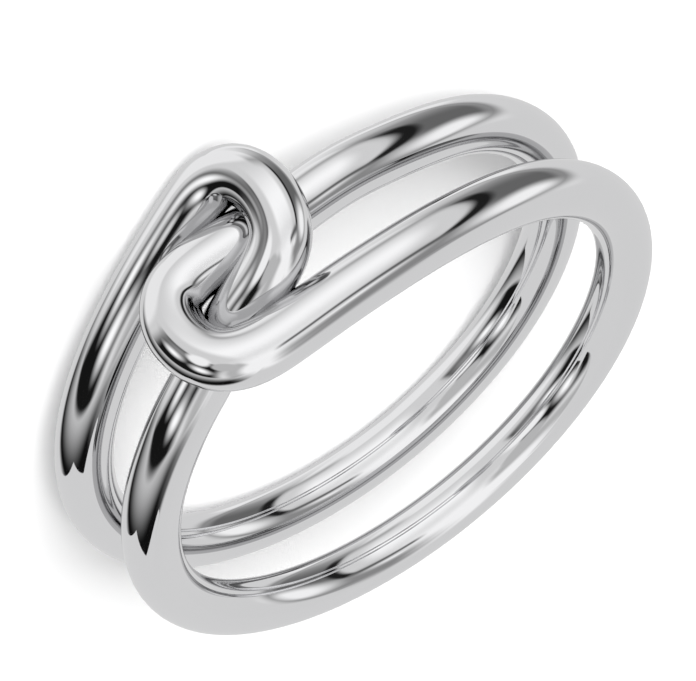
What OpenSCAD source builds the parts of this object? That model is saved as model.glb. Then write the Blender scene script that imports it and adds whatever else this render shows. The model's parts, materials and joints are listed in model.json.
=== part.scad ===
// Infinity ring: one round wire, closed on itself, that goes round the finger twice.
// On top of the finger its two bends hook into each other and make the knot.
// The ring lies on its side, with the finger's way through it pointing up.

/* [Finger] */
// Inner diameter of the bands
finger_d = 17.3; // [14:0.1:22]

/* [Wire] */
// Thickness of the round wire
wire_d = 1.92; // [1.6:0.02:2.2]

/* [Bands] */
// Distance between the two bands, centre to centre
band_pitch = 3.47; // [3.1:0.01:4]
// How far the bands step sideways from each other, as an angle to the finger
band_lean = 5; // [0:0.5:8]

/* [Hidden] */

// Faces round the wire
wire_sides = 20;
// Steps along the wire from one row of its route to the next
route_steps = 5;
// Rows on each plain stretch of band, from the knot to the bottom of the finger
band_rows = 4;

// Radius of the wire
wire_r = wire_d / 2;
// Radius of the middle of the wire round the finger
band_r = (finger_d + wire_d) / 2;

// Columns of the knot's table
ALONG = 0;
ACROSS = 1;
LIFT = 2;

// One bend of the wire: in on one strand, round the bend and out on the other.
// ALONG is the way along the band from the middle of the knot, in wire thicknesses.
// ACROSS is the place between the bands, in band spacings.
// LIFT is the height above the band, in wire thicknesses.
knot_rows = [
    [-5.77, -0.54, 0.00],
    [-4.37, -0.60, 0.00],
    [-3.23, -0.65, 0.00],
    [-2.27, -0.69, 0.07],
    [-1.49, -0.72, 0.17],
    [-0.56, -0.75, 0.40],
    [0.18, -0.78, 0.69],
    [0.69, -0.78, 1.02],
    [1.02, -0.58, 1.25],
    [1.07, -0.19, 1.31],
    [0.86, 0.15, 1.12],
    [0.46, 0.26, 0.89],
    [0.02, 0.26, 0.66],
    [-0.31, 0.27, 0.53],
    [-1.00, 0.27, 0.30],
    [-1.48, 0.31, 0.15],
    [-2.31, 0.35, 0.11],
    [-3.23, 0.37, 0.00],
    [-4.37, 0.41, 0.00],
    [-5.77, 0.48, 0.00]
];

// Columns of the route: turn round the finger from the knot, height and rise
TURN = 0;
HEIGHT = 1;
RISE = 2;

function turn_of(along) = along * wire_d / band_r * 180 / PI;

// The bend in the table, as rows of the route
bend_route = [
    for (row = knot_rows) [turn_of(row[ALONG]), row[ACROSS] * band_pitch, row[LIFT] * wire_d]
];

// Plain band between a strand's end at the knot and the bottom of the finger
function band_turn(start, k) = start - (180 + start) * k / (band_rows + 0.5);
band_start = turn_of(knot_rows[0][ALONG]);
band_end = turn_of(knot_rows[len(knot_rows) - 1][ALONG]);

// Half of the wire, from the bottom of one band over its bend to the bottom of the other
half_route = concat(
    [for (k = [band_rows:-1:1]) [band_turn(band_start, k), -band_pitch / 2, 0]],
    bend_route,
    [for (k = [1:band_rows]) [band_turn(band_end, k), band_pitch / 2, 0]]
);

// The other half is the same, turned over about the middle of the knot
route = concat(half_route, [for (row = half_route) [-row[TURN] - 360, -row[HEIGHT], row[RISE]]]);
route_count = len(route);
ring_count = route_count * route_steps;

// Weights of four neighbouring rows, which give a curve with no sudden bends
function weights(t) = [
    pow(1 - t, 3),
    3 * pow(t, 3) - 6 * pow(t, 2) + 4,
    -3 * pow(t, 3) + 3 * pow(t, 2) + 3 * t + 1,
    pow(t, 3)
] / 6;

function blend(first, w) = [
    for (column = [TURN:RISE]) w * [for (k = [0:3]) route[(first + k) % route_count][column]]
];

// A place round the finger, with the bands' sideways step
function place(row) = [
    (band_r + row[RISE]) * sin(row[TURN]) + row[HEIGHT] * tan(band_lean),
    (band_r + row[RISE]) * cos(row[TURN]),
    row[HEIGHT]
];

// Middle of the wire, step by step
wire_points = [
    for (first = [0:route_count - 1], step = [0:route_steps - 1])
        place(blend(first, weights(step / route_steps)))
];

function unit(v) = v / norm(v);
function point_at(i) = wire_points[(i + ring_count) % ring_count];
function heading(i) = unit(point_at(i + 1) - point_at(i - 1));
function outward(i) = unit([point_at(i).x, point_at(i).y, 0]);

// Round section of the wire at one step
function section(i) =
    let (side = unit(cross(heading(i), outward(i))), up = cross(side, heading(i)))
    [
        for (k = [0:wire_sides - 1])
            let (a = 360 * k / wire_sides)
            point_at(i) + wire_r * (cos(a) * side + sin(a) * up)
    ];

// Resting on its side, the ring stands on the knot and on the far side of the lower band
rest_tilt = max([
    for (p = wire_points) if (p.y > 0) atan2(-band_pitch / 2 - p.z, p.y + band_r)
]);
rest_points = [
    for (p = wire_points) [
        p.x,
        p.y * cos(rest_tilt) - p.z * sin(rest_tilt),
        p.y * sin(rest_tilt) + p.z * cos(rest_tilt)
    ]
];
function lowest(axis) = min([for (p = rest_points) p[axis]]);
function highest(axis) = max([for (p = rest_points) p[axis]]);
rest_shift = [
    -(lowest(0) + highest(0)) / 2,
    -(lowest(1) + highest(1)) / 2,
    wire_r - lowest(2)
];

// Short piece of the wire, from one step to the next
module wire_piece(i) {
    hull()
        polyhedron(
            points = concat(section(i), section(i + 1)),
            faces = [[for (k = [0:2 * wire_sides - 1]) k]]
        );
}

// The closed wire: one piece of metal, whose strands also meet where they pass each other in the knot
module wire_ring() {
    color("silver")
        translate(rest_shift)
            rotate([rest_tilt, 0, 0])
                for (i = [0:ring_count - 1]) wire_piece(i);
}

wire_ring();
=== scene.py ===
"""Infinity ring: a closed round wire that goes round the finger twice and hooks into itself on top."""

import json
import math

import bmesh
import bpy
from mathutils import Matrix, Vector


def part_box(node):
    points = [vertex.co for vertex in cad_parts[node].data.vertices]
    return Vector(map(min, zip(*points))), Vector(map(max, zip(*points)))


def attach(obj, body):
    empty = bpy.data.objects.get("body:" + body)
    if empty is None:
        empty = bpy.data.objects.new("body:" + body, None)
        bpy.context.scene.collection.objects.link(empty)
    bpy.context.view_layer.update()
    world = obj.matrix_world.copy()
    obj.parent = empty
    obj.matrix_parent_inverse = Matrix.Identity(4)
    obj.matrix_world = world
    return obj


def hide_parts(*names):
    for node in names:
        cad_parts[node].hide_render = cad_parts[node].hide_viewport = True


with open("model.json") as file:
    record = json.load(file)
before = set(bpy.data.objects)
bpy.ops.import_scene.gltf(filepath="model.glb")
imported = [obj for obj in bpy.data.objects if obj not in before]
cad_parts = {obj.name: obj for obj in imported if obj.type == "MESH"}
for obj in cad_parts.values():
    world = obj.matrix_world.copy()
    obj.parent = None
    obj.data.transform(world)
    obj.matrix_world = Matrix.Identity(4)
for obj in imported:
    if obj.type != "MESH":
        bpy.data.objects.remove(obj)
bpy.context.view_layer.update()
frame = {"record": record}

bl_info = {
    "name": "Infinity Ring",
    "version": (1, 0, 0),
    "blender": (4, 5, 0),
    "location": "3D View > Sidebar > Infinity Ring",
    "description": "Makes a polished infinity ring from one round wire, and the studio round it",
    "category": "Object",
}

NODE = "wire_ring"
METAL_TONE = tuple(frame["record"]["materials"][0]["base_color"][:3])

# Columns of the knot's table
ALONG, ACROSS, LIFT = range(3)

# One bend of the wire: in on one strand, round the bend and out on the other.
# ALONG is the way along the band from the middle of the knot, in wire thicknesses.
# ACROSS is the place between the bands, in band spacings.
# LIFT is the height above the band, in wire thicknesses.
KNOT_ROWS = [
    [-5.77, -0.54, 0.00],
    [-4.37, -0.60, 0.00],
    [-3.23, -0.65, 0.00],
    [-2.27, -0.69, 0.07],
    [-1.49, -0.72, 0.17],
    [-0.56, -0.75, 0.40],
    [0.18, -0.78, 0.69],
    [0.69, -0.78, 1.02],
    [1.02, -0.58, 1.25],
    [1.07, -0.19, 1.31],
    [0.86, 0.15, 1.12],
    [0.46, 0.26, 0.89],
    [0.02, 0.26, 0.66],
    [-0.31, 0.27, 0.53],
    [-1.00, 0.27, 0.30],
    [-1.48, 0.31, 0.15],
    [-2.31, 0.35, 0.11],
    [-3.23, 0.37, 0.00],
    [-4.37, 0.41, 0.00],
    [-5.77, 0.48, 0.00],
]

# Rows on each plain stretch of band, from the knot to the bottom of the finger
BAND_ROWS = 4
# How far the smooth wire's box may lie from the solid's box, in metres
BOX_SLACK = 5e-5
# Vertices closer than this share of the wire's radius are one, where the wire closes
MERGE_SHARE = 0.01


# The wire's route


def turn_of(along, sizes):
    """Turn round the finger for a way along the band, in wire thicknesses."""
    return along * sizes.wire_diameter / band_radius(sizes)


def band_radius(sizes):
    """Radius of the middle of the wire round the finger."""
    return (sizes.finger_diameter + sizes.wire_diameter) / 2


def route_rows(sizes):
    """Rows of the whole route: turn round the finger from the knot, height and rise."""
    bend = [
        (
            turn_of(row[ALONG], sizes),
            row[ACROSS] * sizes.band_spacing,
            row[LIFT] * sizes.wire_diameter,
        )
        for row in KNOT_ROWS
    ]
    half_spacing = sizes.band_spacing / 2

    def band_turn(start, k):
        return start - (math.pi + start) * k / (BAND_ROWS + 0.5)

    lead_in = [(band_turn(bend[0][0], k), -half_spacing, 0) for k in range(BAND_ROWS, 0, -1)]
    lead_out = [(band_turn(bend[-1][0], k), half_spacing, 0) for k in range(1, BAND_ROWS + 1)]
    half = lead_in + bend + lead_out
    return half + [(-turn - 2 * math.pi, -height, rise) for turn, height, rise in half]


def blend_weights(t):
    """Weights of four neighbouring rows, which give a curve with no sudden bends."""
    return (
        (1 - t) ** 3 / 6,
        (3 * t**3 - 6 * t**2 + 4) / 6,
        (-3 * t**3 + 3 * t**2 + 3 * t + 1) / 6,
        t**3 / 6,
    )


def wire_line(sizes):
    """Middle of the wire, step by step, round the upright finger."""
    rows = route_rows(sizes)
    radius = band_radius(sizes)
    side_step = math.tan(sizes.band_lean)
    points = []
    for first in range(len(rows)):
        for step in range(sizes.route_steps):
            weights = blend_weights(step / sizes.route_steps)
            near = [rows[(first + k) % len(rows)] for k in range(4)]
            turn, height, rise = (
                sum(w * row[column] for w, row in zip(weights, near)) for column in range(3)
            )
            reach = radius + rise
            points.append(
                Vector(
                    (
                        reach * math.sin(turn) + height * side_step,
                        reach * math.cos(turn),
                        height,
                    )
                )
            )
    return points


def rest_place(line, sizes):
    """Turn and shift that lay the ring on its side: it stands on the knot and on the lower band."""
    lower_band = -sizes.band_spacing / 2
    radius = band_radius(sizes)
    tilt = max(math.atan2(lower_band - p.z, p.y + radius) for p in line if p.y > 0)
    turned = Matrix.Rotation(tilt, 4, "X")
    laid = [turned @ p for p in line]
    lowest = [min(p[axis] for p in laid) for axis in range(3)]
    highest = [max(p[axis] for p in laid) for axis in range(3)]
    shift = Vector(
        (
            -(lowest[0] + highest[0]) / 2,
            -(lowest[1] + highest[1]) / 2,
            sizes.wire_diameter / 2 - lowest[2],
        )
    )
    return Matrix.Translation(shift) @ turned


def section_frames(line, place):
    """A frame at each step of the line: X and Y in the wire's section, Z along the wire."""
    frames = []
    for i, point in enumerate(line):
        heading = (line[(i + 1) % len(line)] - line[i - 1]).normalized()
        outward = Vector((point.x, point.y, 0)).normalized()
        side = heading.cross(outward).normalized()
        up = side.cross(heading)
        turn = Matrix((side, up, side.cross(up))).transposed().to_4x4()
        frames.append(place @ Matrix.Translation(point) @ turn)
    return frames


# Pieces


def new_object(name, mesh):
    """An object for a mesh, in the scene."""
    obj = bpy.data.objects.new(name, mesh)
    bpy.context.scene.collection.objects.link(obj)
    return obj


def sweep_closed(bm, frames, radius, sides):
    """A round tube through the frames, closed on itself."""
    bmesh.ops.create_circle(bm, segments=sides, radius=radius, matrix=frames[0])
    first_ring = list(bm.verts)
    edges = list(bm.edges)
    for before, after in zip(frames, frames[1:] + frames[:1]):
        made = bmesh.ops.extrude_edge_only(bm, edges=edges)["geom"]
        ring = [part for part in made if isinstance(part, bmesh.types.BMVert)]
        edges = [part for part in made if isinstance(part, bmesh.types.BMEdge)]
        bmesh.ops.transform(bm, matrix=after @ before.inverted(), verts=ring)
    bmesh.ops.remove_doubles(bm, verts=first_ring + ring, dist=radius * MERGE_SHARE)
    bmesh.ops.recalc_face_normals(bm, faces=bm.faces)


def make_wire(sizes):
    """The wire as a smooth mesh, at rest in the row's frame."""
    line = wire_line(sizes)
    frames = section_frames(line, rest_place(line, sizes))
    bm = bmesh.new()
    sweep_closed(bm, frames, sizes.wire_diameter / 2, sizes.wire_sides)
    mesh = bpy.data.meshes.new("round_wire")
    bm.to_mesh(mesh)
    bm.free()
    mesh.shade_smooth()
    return new_object("round_wire", mesh)


def check_box(obj):
    """Stops if the smooth wire isn't where the solid is."""
    corners = [Vector(corner) for corner in obj.bound_box]
    for axis in range(3):
        low = min(corner[axis] for corner in corners)
        high = max(corner[axis] for corner in corners)
        solid_low, solid_high = (corner[axis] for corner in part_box(NODE))
        if max(abs(low - solid_low), abs(high - solid_high)) > BOX_SLACK:
            raise RuntimeError(f"the wire's box differs from the solid's along axis {axis}")


# Material nodes


def add_node(tree, kind, **settings):
    """A node with its settings, and values for its inputs by name."""
    values = settings.pop("values", {})
    node = tree.nodes.new(kind)
    for name, value in settings.items():
        setattr(node, name, value)
    for name, value in values.items():
        node.inputs[name].default_value = value
    return node


def math_node(tree, operation, first, second=0.0, third=0.0):
    """A Math node, whose inputs are sockets or numbers. Gives its output."""
    node = tree.nodes.new("ShaderNodeMath")
    node.operation = operation
    for socket, value in zip(node.inputs, (first, second, third)):
        if isinstance(value, bpy.types.NodeSocket):
            tree.links.new(value, socket)
        else:
            socket.default_value = value
    return node.outputs[0]


def group_with(name, inputs, outputs):
    """A shader node group with float inputs and outputs, and its two end nodes."""
    group = bpy.data.node_groups.new(name, "ShaderNodeTree")
    for label, default in inputs:
        socket = group.interface.new_socket(label, in_out="INPUT", socket_type="NodeSocketFloat")
        socket.default_value = default
    for label in outputs:
        group.interface.new_socket(label, in_out="OUTPUT", socket_type="NodeSocketFloat")
    return group, group.nodes.new("NodeGroupInput"), group.nodes.new("NodeGroupOutput")


def polish_group():
    """Marks that buffing leaves on polished metal: faint haze, and hairlines finer than a hair."""
    group, start, end = group_with(
        "buffing_marks", [("Haze Scale", 400.0), ("Hairline Scale", 6000.0)], ["Haze", "Hairlines"]
    )
    place = add_node(group, "ShaderNodeTexCoord").outputs["Object"]
    haze = add_node(group, "ShaderNodeTexNoise", values={"Detail": 3.0, "Roughness": 0.6})
    group.links.new(place, haze.inputs["Vector"])
    group.links.new(start.outputs["Haze Scale"], haze.inputs["Scale"])
    group.links.new(haze.outputs["Fac"], end.inputs["Haze"])
    turned = add_node(
        group,
        "ShaderNodeMapping",
        values={"Rotation": (0.4, 0.7, 0.2), "Scale": (1.0, 0.06, 1.0)},
    )
    lines = add_node(group, "ShaderNodeTexNoise", values={"Detail": 2.0, "Roughness": 0.5})
    group.links.new(place, turned.inputs["Vector"])
    group.links.new(turned.outputs["Vector"], lines.inputs["Vector"])
    group.links.new(start.outputs["Hairline Scale"], lines.inputs["Scale"])
    group.links.new(lines.outputs["Fac"], end.inputs["Hairlines"])
    return group


def near_shade(tree, finish):
    """Painted shade for the base colour: 1 where the metal is seen directly, less where other metal
    close to it mirrors it.
    """
    path = add_node(tree, "ShaderNodeLightPath")
    reach = add_node(tree, "ShaderNodeMapRange", interpolation_type="SMOOTHSTEP")
    tree.links.new(path.outputs["Ray Length"], reach.inputs["Value"])
    reach.inputs["From Min"].default_value = finish.shade_near
    reach.inputs["From Max"].default_value = finish.shade_far
    reach.inputs["To Min"].default_value = finish.shade_level
    reach.inputs["To Max"].default_value = 1.0
    choose = add_node(tree, "ShaderNodeMix", data_type="FLOAT")
    tree.links.new(path.outputs["Is Glossy Ray"], choose.inputs["Factor"])
    choose.inputs["A"].default_value = 1.0
    tree.links.new(reach.outputs["Result"], choose.inputs["B"])
    return choose.outputs["Result"]


def silver_material(finish):
    """Mirror-polished silver."""
    material = bpy.data.materials.new("mirror_polished_silver")
    material.use_nodes = True
    tree = material.node_tree
    shader = tree.nodes["Principled BSDF"]
    marks = add_node(tree, "ShaderNodeGroup", node_tree=polish_group())

    tone = add_node(tree, "ShaderNodeMix", data_type="RGBA")
    tree.links.new(marks.outputs["Haze"], tone.inputs["Factor"])
    tone.inputs["A"].default_value = (*finish.metal_colour, 1)
    tone.inputs["B"].default_value = (*[min(1, c * 1.02) for c in finish.metal_colour], 1)
    # Painted shade: the base colour is multiplied down where the metal mirrors other metal close to it
    shaded = add_node(tree, "ShaderNodeMix", data_type="RGBA", blend_type="MULTIPLY")
    shaded.inputs["Factor"].default_value = 1.0
    tree.links.new(tone.outputs["Result"], shaded.inputs["A"])
    tree.links.new(near_shade(tree, finish), shaded.inputs["B"])
    tree.links.new(shaded.outputs["Result"], shader.inputs["Base Color"])

    gloss = add_node(tree, "ShaderNodeMapRange")
    tree.links.new(marks.outputs["Haze"], gloss.inputs["Value"])
    gloss.inputs["From Min"].default_value = 0.3
    gloss.inputs["From Max"].default_value = 0.7
    gloss.inputs["To Min"].default_value = finish.roughness * 0.7
    gloss.inputs["To Max"].default_value = finish.roughness * 1.3
    tree.links.new(gloss.outputs["Result"], shader.inputs["Roughness"])

    bump = add_node(tree, "ShaderNodeBump")
    bump.inputs["Strength"].default_value = 1.0
    bump.inputs["Distance"].default_value = finish.hairline_depth
    tree.links.new(marks.outputs["Hairlines"], bump.inputs["Height"])
    tree.links.new(bump.outputs["Normal"], shader.inputs["Normal"])

    shader.inputs["Metallic"].default_value = 1.0
    return material


# Studio

# Outline of the glowing card, in millimetres across it and up it
CARD_OUTLINE = [
    (53, 47),
    (17, -1),
    (9, -1),
    (4.5, -5.5),
    (3.5, -4.5),
    (6, 1),
    (-14, 1),
    (-15, 8),
    (12, 31),
    (41, 57),
]

# Columns of the studio's plan
(
    SHAPE,
    AZIMUTH,
    ELEVATION,
    HALF_WIDTH,
    HALF_HEIGHT,
    TURN,
    SOFT_ACROSS,
    SOFT_UP,
    LEVEL,
) = range(9)

# What the metal mirrors, each over those before it. Azimuth is from +Y toward +X, elevation from
# the floor up, all in degrees. The SOFT columns give the width of the edge and LEVEL the brightness.
STUDIO_PLAN = [
    ["box", 0, 90, 360, 46, 0, 5, 35, 1.0],
    ["box", 0, -90, 360, 43, 0, 5, 8, 0.9],
    ["box", -50, 55, 44, 9, -5, 14, 14, 0.5],
    ["box", -128, -2, 36.5, 62, 4, 33, 41, 0.005],
    ["box", -54.3, 4.1, 28.5, 36.1, 5, 5, 17, 0.008],
    ["round", -30.4, 40.8, 16.6, 16.1, 0, 6, 6, 0.52],
    ["round", -35.4, -9.9, 8.2, 16.7, 9, 19, 19, 0.29],
    ["round", -62, 19.8, 7.8, 10.7, 25, 14, 14, 1.13],
    ["round", -51.7, -13.1, 7.1, 9.6, 22, 14, 14, 1.13],
    ["round", -31.6, 9.2, 11.8, 15.5, 54, 7, 7, 0.98],
    ["box", 30.9, 2.5, 28.8, 24.6, -3, 14, 48, 1.06],
    ["round", 78.5, 53.1, 13.1, 6, -26, 13, 13, 1.8],
    ["box", 95.5, -8, 19.2, 43, -6, 13, 66, 0.14],
    ["box", 109.6, 55.5, 41, 20.6, 1.5, 50, 20, 0.27],
    ["round", 108, 23.9, 16.4, 20.3, 21, 18, 18, 0.99],
    ["box", 186.7, -8.3, 55.4, 80.8, 12, 12, 20, 0.69],
    ["box", 116.3, 0.3, 2.1, 62, -4, 13, 14, 0.2],
    ["box", 79, -0.5, 3.7, 38.6, -2, 4.5, 12, 0.014],
    ["box", 63.3, 45.6, 19.6, 4.3, -25, 11, 8, 0.12],
    ["box", 63.6, -43.7, 21.6, 4.2, 10, 18, 23, 0.3],
]
# Brightness between the plan's rows
BACKDROP_LEVEL = 0.7
# Fineness of the grain on the floor and on the glowing card
BOARD_GRAIN = {"Scale": 900.0, "Detail": 4.0}


def panel_group():
    """Mask of one lamp or card in the studio, by direction."""
    names = [
        ("Azimuth", 0.0),
        ("Elevation", 0.0),
        ("Centre Azimuth", 0.0),
        ("Centre Elevation", 0.0),
        ("Half Width", 10.0),
        ("Half Height", 10.0),
        ("Turn", 0.0),
        ("Soft Across", 5.0),
        ("Soft Up", 5.0),
    ]
    group, start, end = group_with("studio_panel", names, ["Box", "Round"])
    give = start.outputs
    across = math_node(group, "SUBTRACT", give["Azimuth"], give["Centre Azimuth"])
    across = math_node(group, "WRAP", across, 180.0, -180.0)
    along = math_node(group, "SUBTRACT", give["Elevation"], give["Centre Elevation"])
    turn = math_node(group, "RADIANS", give["Turn"])
    cosine = math_node(group, "COSINE", turn)
    sine = math_node(group, "SINE", turn)
    x = math_node(
        group,
        "ADD",
        math_node(group, "MULTIPLY", across, cosine),
        math_node(group, "MULTIPLY", along, sine),
    )
    y = math_node(
        group,
        "SUBTRACT",
        math_node(group, "MULTIPLY", along, cosine),
        math_node(group, "MULTIPLY", across, sine),
    )

    def edge(value, half, soft):
        """1 inside, 0 outside, with a soft edge centred on the half size."""
        past = math_node(group, "SUBTRACT", math_node(group, "ABSOLUTE", value), half)
        share = math_node(group, "DIVIDE", past, soft)
        blend = group.nodes.new("ShaderNodeMapRange")
        blend.interpolation_type = "SMOOTHSTEP"
        group.links.new(share, blend.inputs["Value"])
        blend.inputs["From Min"].default_value = 0.5
        blend.inputs["From Max"].default_value = -0.5
        return blend.outputs["Result"]

    box = math_node(
        group,
        "MULTIPLY",
        edge(x, give["Half Width"], give["Soft Across"]),
        edge(y, give["Half Height"], give["Soft Up"]),
    )
    group.links.new(box, end.inputs["Box"])
    # An oval is a circle once its height is scaled to its width
    flat = math_node(
        group, "DIVIDE", math_node(group, "MULTIPLY", y, give["Half Width"]), give["Half Height"]
    )
    reach = math_node(
        group,
        "SQRT",
        math_node(
            group,
            "ADD",
            math_node(group, "MULTIPLY", x, x),
            math_node(group, "MULTIPLY", flat, flat),
        ),
    )
    round_mask = edge(reach, give["Half Width"], give["Soft Across"])
    group.links.new(round_mask, end.inputs["Round"])
    return group


def panel_mask(tree, panel, azimuth, elevation, values):
    """The mask of one panel in the studio, with its values by name."""
    mask = add_node(tree, "ShaderNodeGroup", node_tree=panel, values=values)
    tree.links.new(azimuth, mask.inputs["Azimuth"])
    tree.links.new(elevation, mask.inputs["Elevation"])
    return mask.outputs


def studio_world(studio):
    """A plain white room with one wide lamp. The metal mirrors the studio's plan in its place."""
    world = bpy.data.worlds.new("studio")
    world.use_nodes = True
    tree = world.node_tree
    tree.nodes.clear()
    direction = add_node(tree, "ShaderNodeTexCoord").outputs["Generated"]
    split = add_node(tree, "ShaderNodeSeparateXYZ")
    tree.links.new(direction, split.inputs[0])
    azimuth = math_node(
        tree,
        "DEGREES",
        math_node(tree, "ARCTAN2", split.outputs["X"], split.outputs["Y"]),
    )
    elevation = math_node(tree, "DEGREES", math_node(tree, "ARCSINE", split.outputs["Z"]))
    level = BACKDROP_LEVEL
    panel = panel_group()
    for row in STUDIO_PLAN:
        values = {
            "Centre Azimuth": row[AZIMUTH],
            "Centre Elevation": row[ELEVATION],
            "Half Width": row[HALF_WIDTH],
            "Half Height": row[HALF_HEIGHT],
            "Turn": row[TURN],
            "Soft Across": row[SOFT_ACROSS],
            "Soft Up": row[SOFT_UP],
        }
        mask = panel_mask(tree, panel, azimuth, elevation, values)
        share = mask["Box" if row[SHAPE] == "box" else "Round"]
        mix = add_node(tree, "ShaderNodeMix", data_type="FLOAT")
        tree.links.new(share, mix.inputs["Factor"])
        if isinstance(level, bpy.types.NodeSocket):
            tree.links.new(level, mix.inputs["A"])
        else:
            mix.inputs["A"].default_value = level
        mix.inputs["B"].default_value = row[LEVEL]
        level = mix.outputs["Result"]

    path = add_node(tree, "ShaderNodeLightPath")
    white = {"Color": (1, 1, 1, 1)}
    mirrored = add_node(tree, "ShaderNodeBackground", values=white)
    tree.links.new(level, mirrored.inputs["Strength"])
    plain = add_node(tree, "ShaderNodeBackground", values=white)
    half_lamp = math.degrees(studio.lamp_width) / 2
    values = {
        "Centre Azimuth": math.degrees(studio.lamp_azimuth),
        "Centre Elevation": math.degrees(studio.lamp_elevation),
        "Half Width": half_lamp,
        "Half Height": half_lamp,
        "Soft Across": half_lamp,
    }
    lamp = panel_mask(tree, panel, azimuth, elevation, values)
    shone = math_node(tree, "MULTIPLY_ADD", lamp["Round"], studio.lamp_level, studio.light)
    # The camera sees a white room past the floor's edge
    shone = math_node(tree, "MAXIMUM", shone, path.outputs["Is Camera Ray"])
    tree.links.new(shone, plain.inputs["Strength"])
    choose = add_node(tree, "ShaderNodeMixShader")
    tree.links.new(path.outputs["Is Glossy Ray"], choose.inputs["Fac"])
    tree.links.new(plain.outputs[0], choose.inputs[1])
    tree.links.new(mirrored.outputs[0], choose.inputs[2])
    out = add_node(tree, "ShaderNodeOutputWorld")
    tree.links.new(choose.outputs[0], out.inputs["Surface"])
    return world


def floor_material(studio):
    """Matt pale board with a faint grain."""
    material = bpy.data.materials.new("pale_board")
    material.use_nodes = True
    tree = material.node_tree
    shader = tree.nodes["Principled BSDF"]
    place = add_node(tree, "ShaderNodeTexCoord").outputs["Object"]
    grain = add_node(tree, "ShaderNodeTexNoise", values=BOARD_GRAIN)
    tree.links.new(place, grain.inputs["Vector"])
    tone = add_node(tree, "ShaderNodeMix", data_type="RGBA")
    tree.links.new(grain.outputs["Fac"], tone.inputs["Factor"])
    tone.inputs["A"].default_value = (*[c * 0.99 for c in studio.floor_colour], 1)
    tone.inputs["B"].default_value = (*studio.floor_colour, 1)
    tree.links.new(tone.outputs["Result"], shader.inputs["Base Color"])
    shader.inputs["Roughness"].default_value = 0.9
    shader.inputs["Specular IOR Level"].default_value = 0.0
    return material


def make_floor(studio):
    """A plain pale floor. The metal mirrors the studio's plan and not the floor."""
    bm = bmesh.new()
    bmesh.ops.create_grid(bm, x_segments=8, y_segments=8, size=studio.floor_width / 2)
    mesh = bpy.data.meshes.new("floor")
    bm.to_mesh(mesh)
    bm.free()
    obj = new_object("floor", mesh)
    mesh.materials.append(floor_material(studio))
    obj.visible_glossy = False


def card_material(studio):
    """White card that glows evenly, with a faint tooth; a painted reflection that only the metal
    shows.
    """
    material = bpy.data.materials.new("glowing_card")
    material.use_nodes = True
    tree = material.node_tree
    tree.nodes.clear()
    place = add_node(tree, "ShaderNodeTexCoord").outputs["Object"]
    tooth = add_node(tree, "ShaderNodeTexNoise", values=BOARD_GRAIN)
    tree.links.new(place, tooth.inputs["Vector"])
    glow = math_node(tree, "MULTIPLY_ADD", tooth.outputs["Fac"], 0.01, studio.card_level)
    glowing_shader = add_node(tree, "ShaderNodeEmission", values={"Color": (1, 1, 1, 1)})
    tree.links.new(glow, glowing_shader.inputs["Strength"])
    out = add_node(tree, "ShaderNodeOutputMaterial")
    tree.links.new(glowing_shader.outputs[0], out.inputs["Surface"])
    return material


def make_card(studio):
    """A glowing card beside the ring, which only the metal sees: the base that the bands mirror."""
    across = Vector(studio.card_across).normalized()
    up = Vector(studio.card_up).normalized()
    middle = Vector(studio.card_middle)
    bm = bmesh.new()
    corners = [bm.verts.new(middle + (across * x + up * y) / 1000) for x, y in CARD_OUTLINE]
    bmesh.ops.contextual_create(bm, geom=corners)
    bmesh.ops.recalc_face_normals(bm, faces=bm.faces)
    mesh = bpy.data.meshes.new("light_card")
    bm.to_mesh(mesh)
    bm.free()
    obj = new_object("light_card", mesh)
    mesh.materials.append(card_material(studio))
    obj.visible_camera = False
    obj.visible_diffuse = False
    obj.visible_transmission = False
    obj.visible_shadow = False


def make_camera(studio):
    """The camera, turned round its own line of sight, and the scene's view through it."""
    data = bpy.data.cameras.new("camera")
    data.sensor_width = 36.0
    data.sensor_fit = "HORIZONTAL"
    data.lens = studio.lens
    data.clip_start = 0.001
    azimuth, elevation = studio.camera_azimuth, studio.camera_elevation
    back = Vector(
        (
            math.sin(azimuth) * math.cos(elevation),
            math.cos(azimuth) * math.cos(elevation),
            math.sin(elevation),
        )
    )
    right = Vector((0, 0, 1)).cross(back).normalized()
    level = Matrix((right, back.cross(right), back)).transposed().to_4x4()
    aim = Vector(studio.camera_aim)
    camera = bpy.data.objects.new("camera", data)
    camera.matrix_world = (
        Matrix.Translation(aim + back * studio.camera_distance)
        @ level
        @ Matrix.Rotation(studio.camera_roll, 4, "Z")
    )
    bpy.context.scene.collection.objects.link(camera)
    bpy.context.scene.camera = camera


# Settings


class RingSizes(bpy.types.PropertyGroup):
    """Sizes of the wire and its bands"""

    finger_diameter: bpy.props.FloatProperty(
        name="Inner Diameter",
        description="Inner diameter of the bands",
        default=0.0173,
        unit="LENGTH",
        precision=5,
    )
    wire_diameter: bpy.props.FloatProperty(
        name="Wire Thickness",
        description="Thickness of the round wire",
        default=0.00192,
        unit="LENGTH",
        precision=5,
    )
    band_spacing: bpy.props.FloatProperty(
        name="Band Spacing",
        description="Distance between the two bands, centre to centre",
        default=0.00347,
        unit="LENGTH",
        precision=5,
    )
    band_lean: bpy.props.FloatProperty(
        name="Band Lean",
        description="How far the bands step sideways from each other, as an angle to the finger",
        default=math.radians(5),
        subtype="ANGLE",
    )
    wire_sides: bpy.props.IntProperty(
        name="Wire Sides",
        description="Faces round the wire",
        default=48,
        min=12,
        max=96,
    )
    route_steps: bpy.props.IntProperty(
        name="Route Steps",
        description="Steps along the wire from one row of its route to the next",
        default=14,
        min=4,
        max=24,
    )


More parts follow.
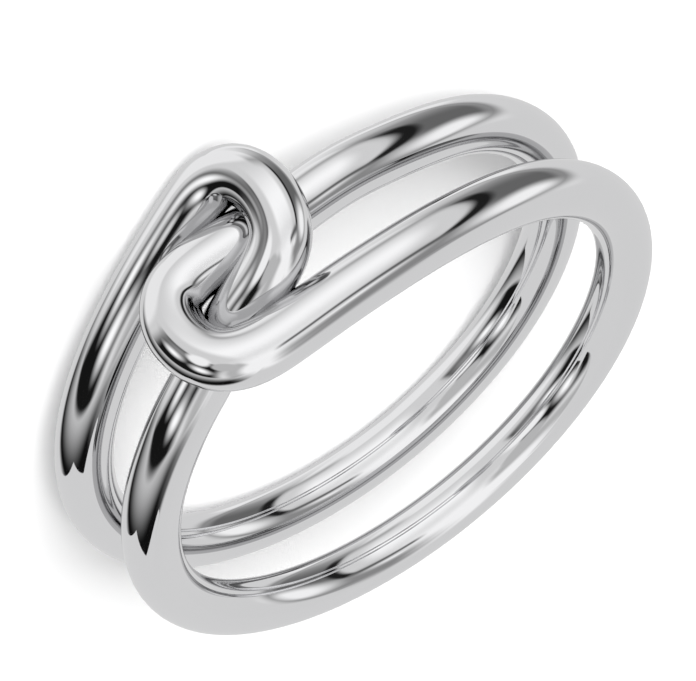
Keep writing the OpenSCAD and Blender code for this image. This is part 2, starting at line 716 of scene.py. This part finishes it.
class RingFinishAndShade(bpy.types.PropertyGroup):
    """Finish of the metal, and the painted shade where it mirrors metal close to it"""

    metal_colour: bpy.props.FloatVectorProperty(
        name="Metal Colour",
        description="Colour of the polished metal",
        default=METAL_TONE,
        subtype="COLOR",
        min=0,
        max=1,
    )
    roughness: bpy.props.FloatProperty(
        name="Roughness",
        description="How much the polish blurs what it mirrors",
        default=0.035,
        min=0,
        max=1,
        subtype="FACTOR",
    )
    hairline_depth: bpy.props.FloatProperty(
        name="Hairline Depth",
        description="Depth of the finest marks left by buffing",
        default=2e-8,
        unit="LENGTH",
        precision=6,
    )
    shade_level: bpy.props.FloatProperty(
        name="Shade Level",
        description="How much of the light is left where the wire mirrors metal close to it",
        default=0.66,
        min=0,
        max=1,
        subtype="FACTOR",
    )
    shade_near: bpy.props.FloatProperty(
        name="Shade Near",
        description="Distance up to which mirrored metal is fully shaded",
        default=0.006,
        unit="LENGTH",
        precision=5,
    )
    shade_far: bpy.props.FloatProperty(
        name="Shade Far",
        description="Distance from which mirrored metal isn't shaded",
        default=0.011,
        unit="LENGTH",
        precision=5,
    )


class RingStudio(bpy.types.PropertyGroup):
    """Floor, light and camera"""

    floor_width: bpy.props.FloatProperty(
        name="Floor Width",
        description="Width of the square floor",
        default=3.0,
        unit="LENGTH",
    )
    floor_colour: bpy.props.FloatVectorProperty(
        name="Floor Colour",
        description="Colour of the floor",
        default=(0.97, 0.97, 0.97),
        subtype="COLOR",
        min=0,
        max=1,
    )
    light: bpy.props.FloatProperty(
        name="Light",
        description="Strength of the soft light from all round",
        default=0.66,
        min=0,
    )
    lamp_level: bpy.props.FloatProperty(
        name="Lamp Level",
        description="Brightness of the wide soft lamp that gives the ring its shadow on the floor",
        default=6.8,
        min=0,
    )
    lamp_azimuth: bpy.props.FloatProperty(
        name="Lamp Azimuth",
        description="Where the wide lamp stands round the ring, from +Y toward +X",
        default=math.radians(28),
        subtype="ANGLE",
    )
    lamp_elevation: bpy.props.FloatProperty(
        name="Lamp Elevation",
        description="How high the wide lamp stands over the floor",
        default=math.radians(38),
        subtype="ANGLE",
    )
    lamp_width: bpy.props.FloatProperty(
        name="Lamp Width",
        description="Width of the wide lamp, as seen from the ring",
        default=math.radians(54),
        subtype="ANGLE",
    )
    card_middle: bpy.props.FloatVectorProperty(
        name="Card Middle",
        description="Point on the card that its outline is measured from",
        default=(-0.01218, -0.005564, 0.01503),
        subtype="XYZ",
        unit="LENGTH",
        precision=6,
    )
    card_across: bpy.props.FloatVectorProperty(
        name="Card Across",
        description="Direction across the card",
        default=(-0.7300, 0.3852, -0.5646),
        subtype="DIRECTION",
    )
    card_up: bpy.props.FloatVectorProperty(
        name="Card Up",
        description="Direction up the card",
        default=(-0.0801, -0.8686, -0.4890),
        subtype="DIRECTION",
    )
    card_level: bpy.props.FloatProperty(
        name="Card Level",
        description="Brightness of the card",
        default=0.69,
        min=0,
    )
    lens: bpy.props.FloatProperty(
        name="Lens",
        description="Focal length of the camera, in millimetres",
        default=160.21,
        min=1,
    )
    camera_azimuth: bpy.props.FloatProperty(
        name="Camera Azimuth",
        description="Where the camera stands round the ring, from +Y toward +X",
        default=math.radians(5.27),
        subtype="ANGLE",
    )
    camera_elevation: bpy.props.FloatProperty(
        name="Camera Elevation",
        description="How far the camera looks down on the ring",
        default=math.radians(29.27),
        subtype="ANGLE",
    )
    camera_roll: bpy.props.FloatProperty(
        name="Camera Roll",
        description="How far the camera is turned round its own line of sight",
        default=math.radians(139.66),
        subtype="ANGLE",
    )
    camera_distance: bpy.props.FloatProperty(
        name="Camera Distance",
        description="From the camera to what it aims at",
        default=0.10176,
        unit="LENGTH",
        precision=5,
    )
    camera_aim: bpy.props.FloatVectorProperty(
        name="Camera Aim",
        description="Point that the camera looks at",
        default=(0.000513, 0.001129, 0.00314),
        subtype="XYZ",
        unit="LENGTH",
        precision=6,
    )


# Operators and panel


class RING_OT_wire(bpy.types.Operator):
    """Make the closed round wire of polished silver"""

    bl_idname = "ring.wire"
    bl_label = "Make Wire"

    def execute(self, context):
        wire = make_wire(context.scene.ring_sizes)
        check_box(wire)
        wire.data.materials.append(silver_material(context.scene.ring_finish))
        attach(wire, "root")
        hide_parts(NODE)
        return {"FINISHED"}


class RING_OT_studio(bpy.types.Operator):
    """Make the floor, the light and the camera"""

    bl_idname = "ring.studio"
    bl_label = "Make Studio"

    def execute(self, context):
        studio = context.scene.ring_studio
        make_floor(studio)
        make_card(studio)
        context.scene.world = studio_world(studio)
        make_camera(studio)
        context.scene.view_settings.view_transform = "Standard"
        return {"FINISHED"}


class RING_PT_panel(bpy.types.Panel):
    """Settings and steps of the infinity ring"""

    bl_label = "Infinity Ring"
    bl_idname = "RING_PT_panel"
    bl_space_type = "VIEW_3D"
    bl_region_type = "UI"
    bl_category = "Infinity Ring"

    def draw(self, context):
        steps = (
            (context.scene.ring_sizes, None),
            (context.scene.ring_finish, "ring.wire"),
            (context.scene.ring_studio, "ring.studio"),
        )
        for settings, operator in steps:
            box = self.layout.box()
            for name in settings.bl_rna.properties.keys():
                if name not in {"rna_type", "name"}:
                    box.prop(settings, name)
            if operator:
                box.operator(operator)


CLASSES = (RingSizes, RingFinishAndShade, RingStudio, RING_OT_wire, RING_OT_studio, RING_PT_panel)


def register():
    for cls in CLASSES:
        bpy.utils.register_class(cls)
    scene = bpy.types.Scene
    scene.ring_sizes = bpy.props.PointerProperty(type=RingSizes)
    scene.ring_finish = bpy.props.PointerProperty(type=RingFinishAndShade)
    scene.ring_studio = bpy.props.PointerProperty(type=RingStudio)


def unregister():
    scene = bpy.types.Scene
    del scene.ring_studio
    del scene.ring_finish
    del scene.ring_sizes
    for cls in reversed(CLASSES):
        bpy.utils.unregister_class(cls)


def main():
    """Make the ring and its studio."""
    register()
    bpy.ops.ring.wire()
    bpy.ops.ring.studio()


if __name__ == "__main__":
    main()
